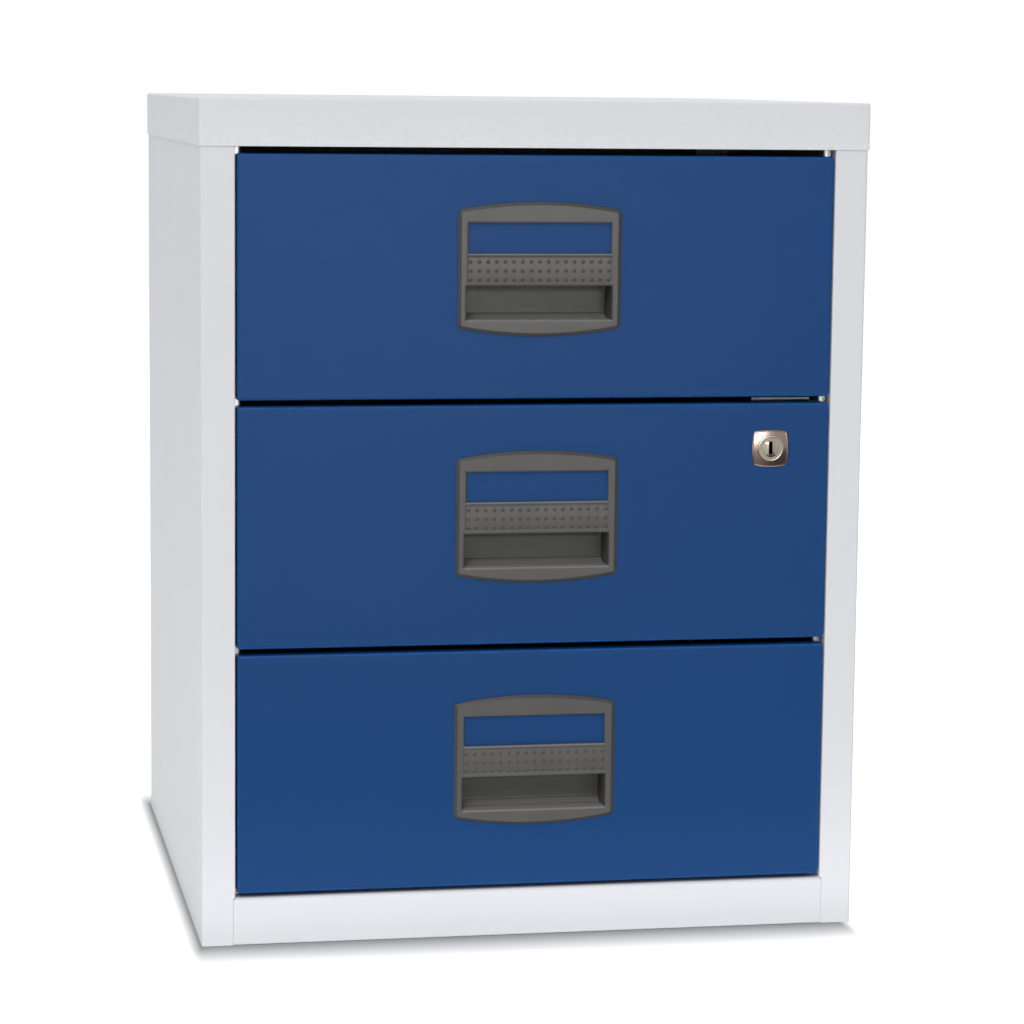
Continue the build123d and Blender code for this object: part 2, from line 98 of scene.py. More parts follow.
camera_data = bpy.data.cameras.new("photo_camera")
camera_data.lens = focal_pixels / photo_pixels * camera_data.sensor_width
camera = put_in_scene("photo_camera", camera_data)
turn = Matrix.Rotation(-heading, 4, "Z") @ Matrix.Rotation(math.pi / 2 - dip, 4, "X")
camera.matrix_world = Matrix.Translation(camera_place) @ turn @ Matrix.Rotation(lean, 4, "Z")
bpy.context.scene.camera = camera
print("lens", round(camera_data.lens, 1), "mm")

# %% [markdown]
# ## Studio
# The cabinet stands on a white floor in front of a white background. White could be made with very
# strong lamps, but they would wash out the paint. So the world shows white only to rays from the camera
# and from mirrors, and lights the cabinet with a softer grey. The floor adds a little light of its own
# in the same way, and has a painted shadow at the cabinet's foot: near the footprint its colour is
# darker and its glow less, and this painted shadow reaches further forwards than sideways. A dark flag
# lies in front where only mirrors see it, so that bare metal isn't white all over.

# %% Nodes
finishes = {}


def plug(tree, node, sockets):
    """Gives each socket of a node a plain value, or a link from another node's output."""
    for socket, source in sockets.items():
        if isinstance(source, bpy.types.NodeSocket):
            tree.links.new(source, node.inputs[socket])
        else:
            node.inputs[socket].default_value = source


def add_node(tree, kind, sockets, output=0, **settings):
    """Adds a node with its settings and its sockets, and returns one of its outputs."""
    node = tree.nodes.new("ShaderNode" + kind)
    for setting, value in settings.items():
        setattr(node, setting, value)
    plug(tree, node, sockets)
    return node.outputs[output]


def ramp(tree, source, start, end, low=0.0, high=1.0):
    """Goes from low to high while a source goes from start to end."""
    sockets = {"Value": source, "From Min": start, "From Max": end, "To Min": low, "To Max": high}
    return add_node(tree, "MapRange", sockets)


def arithmetic(tree, operation, first, second):
    """One step of arithmetic on two numbers."""
    return add_node(tree, "Math", {0: first, 1: second}, operation=operation)


def seen_directly(tree):
    """1 for rays from the camera, from mirrors and through glass, and 0 for other light."""
    path = tree.nodes.new("ShaderNodeLightPath").outputs
    seen = arithmetic(tree, "MAXIMUM", path["Is Camera Ray"], path["Is Glossy Ray"])
    return arithmetic(tree, "MAXIMUM", seen, path["Is Transmission Ray"])


def new_finish(name, sockets):
    """A material, kept by its name, whose Principled shader takes plain values on its own sockets."""
    material = finishes[name] = bpy.data.materials.new(name)
    material.use_nodes = True
    tree = material.node_tree
    shader = tree.nodes["Principled BSDF"]
    plug(tree, shader, sockets)
    print("finish", name)
    return tree, shader


# %% White world
ambient_level = 0.325
world = bpy.data.worlds.new("white_studio")
bpy.context.scene.world = world
world.use_nodes = True
tree = world.node_tree
tree.nodes.clear()
soft_grey = add_node(tree, "Background", {"Color": (0.97, 0.985, 1.0, 1), "Strength": ambient_level})
plain_white = add_node(tree, "Background", {"Color": (1, 1, 1, 1), "Strength": 1.0})
blend = add_node(tree, "MixShader", {0: seen_directly(tree), 1: soft_grey, 2: plain_white})
plug(tree, tree.nodes.new("ShaderNodeOutputWorld"), {"Surface": blend})
print("world lights at", ambient_level)

# %% White floor
floor_corner = Vector((6.0, 6.0))
floor_drop = 0.2 * mm
floor_lift = 0.75
floor_white, shadow_white = 0.84, 0.36
# the foot's shadow on the floor is painted: its reach and shift are set here
shadow_reach = (11 * mm, 56 * mm, 1)  # how far the foot's shadow goes sideways and forwards
shadow_shift = 4 * mm  # the shadow starts twice this much inside the right foot


def stage_sheet(name, low, high, z, finish):
    """A flat sheet at one height, between two corners."""
    mesh = bpy.data.meshes.new(name)
    corners = (low, (high[0], low[1]), high, (low[0], high[1]))
    mesh.from_pydata([(x, y, z) for x, y in corners], [], [(0, 1, 2, 3)])
    mesh.materials.append(finishes[finish])
    sheet = put_in_scene(name, mesh)
    return sheet


tree = new_finish("white_paper", {})[0]
tree.nodes.clear()
nothing = (0, 0, 0)
foot = (cad_box[1].x - shadow_shift, cad_box[1].y, 1)
place = add_node(tree, "TexCoord", {}, "Object")
for operation, second in (("ADD", (shadow_shift, 0, 0)), ("ABSOLUTE", nothing), ("SUBTRACT", foot),
                          ("MAXIMUM", nothing), ("DIVIDE", shadow_reach), ("LENGTH", nothing)):
    place = add_node(tree, "VectorMath", {0: place, 1: second}, operation=operation)
# Painted shadow: near the footprint the floor's colour goes from floor_white to shadow_white and its glow
# fades, for rays from the camera and mirrors
near = ramp(tree, place.node.outputs["Value"], 0, 1, 1, 0)
seen = seen_directly(tree)
shadow = arithmetic(tree, "MULTIPLY", seen, near)
white = add_node(tree, "BsdfDiffuse", {"Color": ramp(tree, shadow, 0, 1, floor_white, shadow_white)})
lift = ramp(tree, arithmetic(tree, "SUBTRACT", seen, shadow), 0, 1, 0, floor_lift)
glow = add_node(tree, "Emission", {"Color": (1, 1, 1, 1), "Strength": lift})
total = add_node(tree, "AddShader", {0: white, 1: glow})
plug(tree, tree.nodes.new("ShaderNodeOutputMaterial"), {"Surface": total})
stage_sheet("studio_floor", -floor_corner, floor_corner, -floor_drop, "white_paper")

# %% Dark flag
new_finish("dark_felt", {"Base Color": (0.03, 0.03, 0.03, 1)})
flag = stage_sheet("dark_flag", (-1.2, -2.8), (1.8, -0.35), 4 * mm, "dark_felt")
flag.visible_camera = flag.visible_diffuse = flag.visible_shadow = False

# %% Soft lamps
middle_of_cabinet = (0, 0, 0.26)
lamps = (  # name, place, aim, width and height in metres, and power in watts
    ("front_softbox", (-2.2, -6.0, 5.0), middle_of_cabinet, (3.0, 3.0), 190),
    ("high_softbox", (-1.2, -3.0, 6.0), middle_of_cabinet, (2.5, 2.5), 95),
    ("left_softbox", (-2.4, 0.1, 0.8), middle_of_cabinet, (1.4, 1.4), 5.0),
    ("top_softbox", (0.0, 0.4, 2.4), middle_of_cabinet, (2.0, 2.0), 6),
    ("back_softbox", (1.9, 2.4, 1.3), middle_of_cabinet, (1.6, 1.6), 22),
    ("low_strip", (0.0, -0.9, 0.06), (0, -0.2, 0.05), (1.2, 0.1), 0.7),
    ("floor_panel", (0.0, -0.29, 5 * mm), (0, -0.29, 1), (1.0, 0.14), 0.20),
    ("foot_strip", (0.0, -0.26, 8 * mm), (0, 0, 8 * mm), (1.0, 0.012), 0.038),
    ("white_card", (0.14, -2.5, 0.60), middle_of_cabinet, (0.9, 0.7), 15),
)
hidden_from_mirrors = ("low_strip", "floor_panel", "foot_strip")
for name, place, aim, size, power in lamps:
    data = bpy.data.lights.new(name, "AREA")
    data.shape = "RECTANGLE"
    data.size, data.size_y = size
    data.energy = power
    lamp = put_in_scene(name, data)
    lamp.location = place
    lamp.rotation_euler = (Vector(aim) - Vector(place)).to_track_quat("-Z", "Y").to_euler()
    lamp.visible_camera = False
    lamp.visible_glossy = name not in hidden_from_mirrors
    lamp.visible_diffuse = name != "white_card"
print(len(lamps), "lamps")

# %% [markdown]
# ## Paint and metal
# The shell and the drawer fronts are powder coated: a paint that is sprayed on as dust and baked, which
# leaves a satin skin with a fine orange-peel texture. A picture texture could show that, but a noise
# field on object coordinates has no seams and no end of detail. Colour, gloss and height each read a
# noise of their own. An attribute named mark makes the folds' paint lighter: partly paint wear, partly a
# painted highlight along the start of each fold. On plastic and metal the same attribute carries painted
# shade and painted highlight.

# %% Building blocks of a finish
def grain(tree, grain_size, detail=2.0, stretch=(1, 1, 1)):
    """Noise on object coordinates, with grains of about this size in metres."""
    place = add_node(tree, "TexCoord", {}, "Object")
    turn = add_node(tree, "Mapping", {"Vector": place, "Scale": stretch})
    return add_node(tree, "TexNoise", {"Vector": turn, "Scale": 1 / grain_size, "Detail": detail})


def spread(tree, noise, low=0.0, high=1.0):
    """Stretches the middle of a noise to a range of values."""
    return ramp(tree, noise, 0.3, 0.7, low, high)


def read_mark(tree):
    """The attribute named mark, a number at each point."""
    return add_node(tree, "Attribute", {}, "Fac", attribute_name="mark")


def mix_colours(tree, factor, first, second):
    """Goes from one colour to another by a factor, on the sockets that a Mix node has for colours."""
    return add_node(tree, "Mix", {0: factor, 6: first, 7: second}, 2, data_type="RGBA")


def shade(colour, level):
    """A colour made lighter or darker by a factor."""
    return tuple(level * part for part in colour) + (1.0,)


def tinted(tree, noise, colour, low, high):
    """A colour that a noise makes a little darker and lighter."""
    return mix_colours(tree, spread(tree, noise), shade(colour, low), shade(colour, high))


def dress(tree, shader, colour, gloss, bumps, strength, depth):
    """Gives a shader its colour, its gloss, and a skin with bumps of this depth."""
    skin = add_node(tree, "Bump", {"Height": bumps, "Strength": strength, "Distance": depth})
    plug(tree, shader, {"Base Color": colour, "Roughness": gloss, "Normal": skin})


# %% Powder coat
def powder_coat(name, colour, roughness, wear_and_highlight_level):
    """Paint with faint clouds in its colour, an orange-peel skin, and folds painted lighter: paint wear and
    a painted highlight.
    """
    tree, shader = new_finish(name, {"Specular IOR Level": 0.15})
    paint = tinted(tree, grain(tree, 90 * mm, 3.0), colour, 0.99, 1.01)
    wear_and_highlight_patches = spread(tree, grain(tree, 3 * mm, 4.0), 0.0, 0.6)
    wear_and_highlight_share = arithmetic(tree, "MULTIPLY", read_mark(tree), wear_and_highlight_patches)
    coat = mix_colours(tree, wear_and_highlight_share, paint, shade(colour, wear_and_highlight_level))
    gloss = spread(tree, grain(tree, 14 * mm, 3.0), roughness - 0.02, roughness + 0.02)
    dress(tree, shader, coat, gloss, grain(tree, 0.7 * mm), 0.35, 0.03 * mm)


# The last number is how much lighter the folds are painted, as paint wear and as a painted highlight
powder_coat("carcass_paint", (0.735, 0.737, 0.765), 0.48, 1.15)
powder_coat("drawer_paint", (0.003, 0.049, 0.178), 0.44, 2.6)
powder_coat("tray_paint", (0.60, 0.60, 0.61), 0.50, 1.08)


# %% Plated steel
def plated_steel(name, colour, roughness, stretch, grain_size=2.5 * mm, streak=0.1):
    """Bare plating: a metal whose gloss and tone run in faint rolling streaks, with painted shade where mark
    is -1.
    """
    tree, shader = new_finish(name, {"Metallic": 1.0})
    streaks = grain(tree, grain_size, 4.0, stretch)
    tone = tinted(tree, streaks, colour, 1 - 1.4 * streak, 1 + streak / 2)
    plating = mix_colours(tree, ramp(tree, read_mark(tree), 0, -1), tone, shade(colour, 0.06))
    gloss = spread(tree, streaks, roughness - 0.8 * streak, roughness + streak)
    dress(tree, shader, plating, gloss, streaks, 2.5 * streak, 0.02 * mm)


plated_steel("zinc_plate", (0.56, 0.57, 0.58), 0.36, (1, 0.08, 1))
plated_steel("dull_steel", (0.27, 0.28, 0.30), 0.45, (0.08, 1, 1))
plated_steel("lock_chrome", (0.36, 0.315, 0.26), 0.22, (1, 1, 0.12), 0.8 * mm, 0.04)
plated_steel("plate_nickel", (0.25, 0.185, 0.160), 0.20, (1, 1, 0.12), 0.8 * mm, 0.04)
plated_steel("ball_steel", (0.70, 0.70, 0.71), 0.16, (1, 1, 1))


# %% Moulded plastic
def moulded_plastic(name, colour, roughness):
    """Plastic from a satin mould: leathery where mark is 1, with a painted highlight up to 2, and painted
    shade below 0.
    """
    tree, shader = new_finish(name, {"Specular IOR Level": 0.28})
    tone = tinted(tree, grain(tree, 25 * mm, 3.0), colour, 0.94, 1.06)
    # Painted shade below mark 0, and painted highlight from mark 1 to 2
    edge = mix_colours(tree, ramp(tree, read_mark(tree), 0, -2), tone, shade(colour, 0.15))
    shaded_and_lit = mix_colours(tree, ramp(tree, read_mark(tree), 1, 2), edge, shade(colour, 3.0))
    gloss = spread(tree, grain(tree, 4 * mm, 3.0), roughness - 0.05, roughness + 0.06)
    leather = ramp(tree, read_mark(tree), 0, 1, 0.12, 0.75)
    dress(tree, shader, shaded_and_lit, gloss, grain(tree, 0.8 * mm, 3.0), leather, 0.05 * mm)


moulded_plastic("handle_plastic", (0.087, 0.0845, 0.081), 0.38)
moulded_plastic("guide_plastic", (0.75, 0.75, 0.73), 0.45)

# %% [markdown]
# ## Finishes on the CAD pieces
# The record lists a material slot for every CAD piece. A CAD piece keeps its own mesh, so its finish is
# put into the material slot of its object, by name.

# %% Dress the CAD pieces
for subpart in frame["record"]["subparts"]:
    for material_slot in frame["nodes"][subpart["node"]].material_slots:
        material_slot.material = finishes[subpart["material_slot"]]

# %% [markdown]
# ## Skins
# Every new piece is a closed skin of four-cornered faces. They could be drawn by hand, or come from
# whole arrays: a grid of points gives a sheet, a loop carried through rings a fold or a wall, and a ring
# zipped across a flat end. Arrays are quick and exact, so the Skin below never visits points one by one.

# %% Skin
class Skin:
    """The points and four-cornered faces of one piece, gathered as whole arrays."""

    def __init__(self):
        self.points = np.zeros((0, 3))
        self.mark = np.zeros(0)
        self.faces = np.zeros((0, 4), int)

    def add(self, points, mark=0.0):
        """Takes in an array of points and returns their numbers in the same arrangement."""
        first = len(self.points)
        self.points = np.vstack([self.points, points.reshape(-1, 3)])
        self.mark = np.r_[self.mark, np.broadcast_to(mark, points.shape[:-1]).ravel()]
        return np.arange(first, len(self.points)).reshape(points.shape[:-1])

    def cover(self, numbers, keep=None):
        """Puts a face on each square of neighbours in a grid of numbers, or on those to keep."""
        squares = np.stack([numbers[:-1, :-1], numbers[:-1, 1:], numbers[1:, 1:], numbers[1:, :-1]], axis=-1)
        chosen = squares.reshape(-1, 4) if keep is None else squares[keep]
        self.faces = np.vstack([self.faces, chosen])

    def wrap(self, *rings):
        """Covers a stack of closed rings, joining each ring's last point to its first."""
        stack = np.vstack(rings)
        self.cover(np.hstack([stack, stack[:, :1]]))

    def zip(self, ring):
        """Fills a ring with faces that run across it, from point i to point n - 1 - i."""
        half = len(ring) // 2
        self.cover(np.stack([ring[:half], ring[::-1][:half]]))

    def close(self, rings):
        """Covers a stack of closed rings and fills its two ends."""
        self.wrap(rings)
        self.zip(rings[0])
        self.zip(rings[-1])


# %% From skin to piece
hair = 0.001 * mm  # points nearer than this are one
sharp_fold = math.radians(30)


def make_piece(name, skin, slot, body, *nodes, finish=None):
    """Makes a skin an object: merges its seams, turns its faces outwards, hangs it on its body's empty and
    hides the CAD pieces it stands for.
    """
    mesh = bpy.data.meshes.new(name)
    mesh.from_pydata(skin.points.tolist(), [], skin.faces.tolist())
    mesh.attributes.new("mark", "FLOAT", "POINT").data.foreach_set("value", skin.mark.astype(np.float32))
    shell = bmesh.new()
    shell.from_mesh(mesh)
    bmesh.ops.remove_doubles(shell, verts=shell.verts, dist=hair)
    bmesh.ops.recalc_face_normals(shell, faces=shell.faces)
    open_edges = sum(not edge.is_manifold for edge in shell.edges)
    shell.to_mesh(mesh)
    shell.free()
    mesh.shade_smooth()
    mesh.set_sharp_from_angle(angle=sharp_fold)
    mesh.materials.append(finishes[finish or slot])
    piece = put_in_scene(name, mesh)
    shading = piece.modifiers.new("flat_faces_first", "WEIGHTED_NORMAL")
    shading.weight = 100
    shading.keep_sharp = True
    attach(piece, body)
    if nodes:
        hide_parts(*nodes)
    print(name, len(mesh.polygons), "faces,", open_edges, "open edges")
    return piece


# %% Loops and folds
def border(numbers):
    """Numbers round the edge of a grid, anticlockwise from its first corner."""
    return np.r_[numbers[0, :-1], numbers[:-1, -1], numbers[-1, :0:-1], numbers[:0:-1, 0]]


def outward(flat):
    """Outward directions at the points of an anticlockwise loop, longer at corners so that folds mitre."""
    step = np.roll(flat, -1, axis=0) - flat
    normal = np.column_stack([step[:, 1], -step[:, 0]]) / np.linalg.norm(step, axis=1, keepdims=True)
    before = np.roll(normal, 1, axis=0)
    return (before + normal) / (1 + (before * normal).sum(axis=1, keepdims=True))


def fold(skin, loop, out, back, mark=0.0):
    """Carries an upright loop through rings: ring k lies out[k] outside the loop and back[k] behind it."""
    start = skin.points[loop]
    away = np.zeros_like(start)
    away[:, [0, 2]] = outward(start[:, [0, 2]])
    rings = start + np.multiply.outer(out, away)
    rings[..., 1] += np.reshape(back, (-1, 1))
    numbers = skin.add(rings, mark)
    skin.wrap(loop, numbers)
    return numbers[-1]


def quarter_turn(radius, steps=6):
    """A fold from flat to square: sideways r sin a, along r (1 - cos a), and how much lighter it is painted.

    The start of the fold gets the most paint wear and the most light, so this wear and painted highlight is
    sin 3a and ends at 60 degrees.
    """
    turn = np.linspace(0, math.pi / 2, steps + 1)[1:]
    return radius * np.sin(turn), radius * (1 - np.cos(turn)), np.maximum(np.sin(3 * turn), 0)


# %% [markdown]
# ## Lid
# The lid is a shallow pan of sheet steel set upside down over the sides. It could be a bevelled box,
# but a box has no inside. Here a rounded rectangle is the path, and the section of the sheet is carried
# round it: flat top, fold, rim, cut edge, and the same way back on the inside.

# %% Outlines
sheet = 0.8 * mm
fold_radius = 1.6 * mm
cut = 0.2 * mm  # rounding of the sheet's cut edges
corner_points = 7
quarters = np.array([1, 1j, -1, -1j])[:, None]  # times one of these, a complex number is turned


def flat_points(numbers):
    """Points of a plane from complex numbers, with which a turn is a product."""
    return np.column_stack([numbers.real.ravel(), numbers.imag.ravel()])


def points_at(x, y, z):
    """Points from their three coordinates, each an array or a number."""
    return np.stack(np.broadcast_arrays(x, y, z), axis=-1)


def rounded_rectangle(half_width, half_depth, radius):
    """A loop in a plane: four corner centres, and a quarter circle of the radius round each."""
    side = quarters * (1 + 1j)
    centres = side.real * (half_width - radius) + 1j * side.imag * (half_depth - radius)
    arc = radius * np.exp(1j * np.linspace(0, math.pi / 2, corner_points))
    return flat_points(centres + quarters * arc)


def carry_round(outline, inset, height):
    """A section carried round an outline: ring k is the outline inset[k] further in, at height[k]."""
    flat = np.stack([outline(distance) for distance in inset])
    return points_at(flat[..., 0], flat[..., 1], height[:, None])


# %% Lid
def make_lid():
    """Carries the lid's section, as distance in from the rim and height, round its outline."""
    low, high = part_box("top_lid")
    centre, half = (low + high) / 2, (high - low) / 2
    out, drop, wear_and_highlight = quarter_turn(fold_radius)
    inset = np.r_[fold_radius, fold_radius - out, 0, cut, sheet - cut, sheet, sheet]
    height = np.r_[high.z, high.z - drop, low.z + cut, low.z, low.z, low.z + cut, high.z - sheet]
    # The mark paints the fold and the cut edge lighter: paint wear and a painted highlight
    mark = np.r_[0, wear_and_highlight, 0.7, 0.7, 0, 0, 0]

    def outline(distance):
        """The lid's outline, this much further in."""
        radius = max(fold_radius - distance, cut)
        return rounded_rectangle(half.x - distance, half.y - distance, radius) + (centre.x, centre.y)

    skin = Skin()
    skin.close(skin.add(carry_round(outline, inset, height), mark[:, None]))
    make_piece("lid_sheet", skin, "carcass_paint", "cabinet", "top_lid")


make_lid()

# %% [markdown]
# ## Drawer fronts
# A drawer front is a sheet folded back along its four edges. A flat face with a bevel would look the
# same from the front, but an opened drawer shows the folded rim and the hollow behind it. A grid of
# lines is laid over the face, its squares over the finger cup and the lock are left out, and its border
# is folded back as the steel is.

# %% Grids with holes
def lines(*spans):
    """Grid lines from several spans of values, in order, to a tenth of a micron, without repeats."""
    return np.unique(np.round(np.concatenate(spans), 7))


def in_box(xs, zs, box):
    """Marks the squares of a grid whose middles lie in a box (low x, low z, high x, high z)."""
    x = (xs[1:] + xs[:-1]) / 2
    z = (zs[1:] + zs[:-1]) / 2
    return ((z > box[1]) & (z < box[3]))[:, None] & ((x > box[0]) & (x < box[2]))[None]


def hole_loop(numbers, inside):
    """Numbers round a hole, whose squares are marked, anticlockwise."""
    rows = np.flatnonzero(inside.any(axis=1))
    columns = np.flatnonzero(inside.any(axis=0))
    return border(numbers[rows[0]:rows[-1] + 2, columns[0]:columns[-1] + 2])


def corner_drop(x, half, radius):
    """How far a rounded corner pulls an edge in, at places x along an edge of this half length."""
    reach = np.clip(np.abs(x) - (half - radius), 0, radius)
    return radius - np.sqrt(radius**2 - reach**2)


def corner_lines(half, radius, steps=5):
    """Grid lines that crowd towards both ends of an edge, where its corners are round."""
    near = half - radius + radius * np.sin(np.linspace(0, math.pi / 2, steps + 1))
    return np.r_[-near, near]


# %% Drawer fronts
face_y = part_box("top_drawer_front")[0].y
handle_below_top = 41.4 * mm  # handle's centre below the highest point of its crown
cup_half = 46.7 * mm  # finger cup over its outside
cup_low, cup_high = -31.7 * mm, -8.1 * mm
lock_hole = 7.6 * mm
lock_patch = 9.0 * mm  # square of the grid that is left out round the hole


def middle_of(node):
    """Middle of a CAD piece's box."""
    return sum(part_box(node), Vector()) / 2


lock_place = middle_of("lock_escutcheon")


def handle_height(drawer):
    """Height of a handle's centre."""
    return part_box(f"{drawer}_drawer_handle")[1].z - handle_below_top


def make_front(drawer):
    """Lays a grid on the face, leaves out its holes, and folds the border back and in again."""
    low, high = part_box(f"{drawer}_drawer_front")
    middle = handle_height(drawer)
    half = high.x - fold_radius
    corner = 0.3 * mm
    boxes = [(-cup_half, middle + cup_low, cup_half, middle + cup_high)]
    columns = [corner_lines(half, corner), boxes[0][::2]]
    rows = [[low.z + fold_radius, high.z - fold_radius], boxes[0][1::2]]
    if drawer == "middle":
        patch = np.linspace(-lock_patch, lock_patch, 9)
        columns.append(lock_place.x + patch)
        rows.append(lock_place.z + patch)
        boxes.append((columns[-1][0], rows[-1][0], columns[-1][-1], rows[-1][-1]))
    xs, zs = lines(*columns), lines(*rows)
    x, z = np.meshgrid(xs, zs)
    z[0] += corner_drop(xs, half, corner)
    z[-1] -= corner_drop(xs, half, corner)
    holes = [in_box(xs, zs, box) for box in boxes]
    keep = ~np.any(holes, axis=0)
    skin = Skin()
    face = skin.add(points_at(x, low.y, z))
    inner = skin.add(points_at(x, low.y + sheet, z))
    skin.cover(face, keep)
    skin.cover(inner, keep)
    out, back, wear_and_highlight = quarter_turn(fold_radius)
    depth = high.y - low.y
    wall = fold_radius - sheet
    out = np.r_[out, fold_radius, fold_radius - cut, wall + cut, wall, wall, wall - cut]
    back = np.r_[back, depth - cut, depth, depth, depth - cut, sheet + 2 * cut, sheet]
    # The mark paints the fold lighter, as paint wear and a painted highlight, and the rim's back edge too
    rim = fold(skin, border(face), out, back, mark=np.r_[wear_and_highlight, 0.5, 0.5, 0, 0, 0, 0][:, None])
    skin.wrap(rim, border(inner))
    skin.wrap(hole_loop(face, holes[0]), hole_loop(inner, holes[0]))
    if drawer == "middle":
        rings = [round_bore(skin, hole_loop(layer, holes[1])) for layer in (face, inner)]
        skin.wrap(*rings)
    make_piece(f"{drawer}_front_panel", skin, "drawer_paint", f"{drawer}_drawer", f"{drawer}_drawer_front")


def round_bore(skin, loop):
    """Joins a square loop to a circle: each point goes along its own direction to the bore's radius."""
    square = skin.points[loop]
    centre = np.array([lock_place.x, square[0, 1], lock_place.z])
    away = square - centre
    circle = centre + lock_hole * away / np.linalg.norm(away, axis=1, keepdims=True)
    ring = skin.add(circle)
    skin.wrap(loop, ring)
    return ring


for drawer in drawers:
    make_front(drawer)

# %% [markdown]
# ## Handles
# Each handle is one plastic moulding: a flat surround with bowed ends and a rounded rim, a window for a
# label, a grip band with three rows of pimples, and a finger cup. It could be cut from a block with
# booleans, but those leave ragged edges. One grid carries the face, with lines that crowd at the pimples
# and at the corners, and each hole's border is folded back over its own lip.

# %% Handle sizes
handle_half = 50.5 * mm
handle_rim = 2.4 * mm  # width of the sloping rim
handle_edge = 0.7 * mm  # upright edge that is left outside the slope
handle_corner = 3.0 * mm
handle_proud = 2.2 * mm  # face in front of the drawer
crown_high, crown_low = handle_below_top, -40.4 * mm
crown_radius = 257.5 * mm
window_half = 45.2 * mm
window_low, window_high = 8.9 * mm, 29.6 * mm
window_lip = 1.1 * mm
window_corner, cup_corner = 0.8 * mm, 2.2 * mm
hole_lines = 1.6 * mm  # grid lines crowd this close to a hole's edges
pimple_pitch = 5.34 * mm
pimple_columns = 17
pimple_rows = np.array([-5.6, -0.3, 5.2]) * mm
pimple_radius = 1.25 * mm
pimple_height = 0.8 * mm
# Painted shade: the pimples' colour is made darker, standing in for their shaded sides
pimple_shade = -0.6
band_edge = 1.2 * mm  # width of the soft step round the grip band
band_depth = 0.42 * mm
band_bow = 0.4 * mm
# Painted shade: the top of the cup's back wall is coloured dark, and fades out below
cup_shade = 2.4 * mm  # dark strip under the cup's upper lip
cup_fade = 2.4 * mm  # below it the shade fades out


# %% Handle face
def crown(x, top):
    """A bowed edge: an arc through its middle height, inside the rim, with its corners rounded off."""
    radius = crown_radius - handle_rim
    sag = radius - np.sqrt(radius**2 - x**2)
    return top - handle_rim - sag - corner_drop(x, handle_half - handle_rim, handle_corner - handle_rim)


def pimples(x, z):
    """Height of the grip's pimples: a round cap h (1 - d²/r²) at each place of a 17 by 3 pattern."""
    last = (pimple_columns - 1) / 2
    column = np.clip(np.round(x / pimple_pitch), -last, last) * pimple_pitch
    row = pimple_rows[np.abs(z[..., None] - pimple_rows).argmin(axis=-1)]
    apart = (x - column)**2 + (z - row)**2
    return pimple_height * np.clip(1 - apart / pimple_radius**2, 0, 1)


def smooth_step(value):
    """Goes softly from 0 to 1 while the value does: 3v² - 2v³."""
    value = np.clip(value, 0, 1)
    return value**2 * (3 - 2 * value)


def band_sink(x, z):
    """Depth of the grip band: a soft step down all round, and a bow that lifts its middle again."""
    top, low = (window_low - z) / band_edge, (z - cup_high) / band_edge
    side = (window_half - np.abs(x)) / band_edge
    within = smooth_step(top) * smooth_step(low) * smooth_step(side)
    from_middle = (2 * z - window_low - cup_high) / (window_low - cup_high)
    return within * (band_depth + band_bow * from_middle**2)


def handle_lines():
    """Columns and rows of the handle's grid; the first and last row stand for the bowed edges."""
    across = pimple_radius * np.sin(np.linspace(-math.pi / 2, math.pi / 2, 9))
    places = (np.arange(pimple_columns) - (pimple_columns - 1) / 2) * pimple_pitch
    ends = corner_lines(handle_half - handle_rim, handle_corner - handle_rim)
    lip = hole_lines * (1 - np.cos(np.linspace(0, math.pi / 2, 5)))
    window = [window_half - lip, lip - window_half]
    cup = [cup_half - lip, lip - cup_half]
    columns = lines((places[:, None] + across).ravel(), ends, *window, *cup)
    strip = cup_high - np.linspace(2.0, 8.0, 7) * mm
    upright = [window_low + lip, window_high - lip, cup_low + lip, cup_high - lip, strip]
    step = np.linspace(0, band_edge, 5)
    rows = lines((pimple_rows[:, None] + across).ravel(), window_low - step, cup_high + step, *upright)
    return columns, np.r_[crown_low, rows, crown_high]


# %% Holes with lips
def round_corners(skin, loop, box, radius):
    """Pulls the points in each corner of a rectangular loop onto a quarter circle."""
    low, high = np.reshape(box, (2, 2))
    centre, half = (low + high) / 2, (high - low) / 2
    flat = skin.points[loop][:, [0, 2]] - centre
    pivot = np.sign(flat) * (half - radius)
    arm = flat - pivot
    in_corner = (np.abs(flat) > half - radius).all(axis=1)
    length = np.linalg.norm(arm, axis=1, keepdims=True)
    flat = np.where(in_corner[:, None], pivot + radius * arm / np.maximum(length, 1e-9), flat)
    skin.points[np.ix_(loop, [0, 2])] = flat + centre


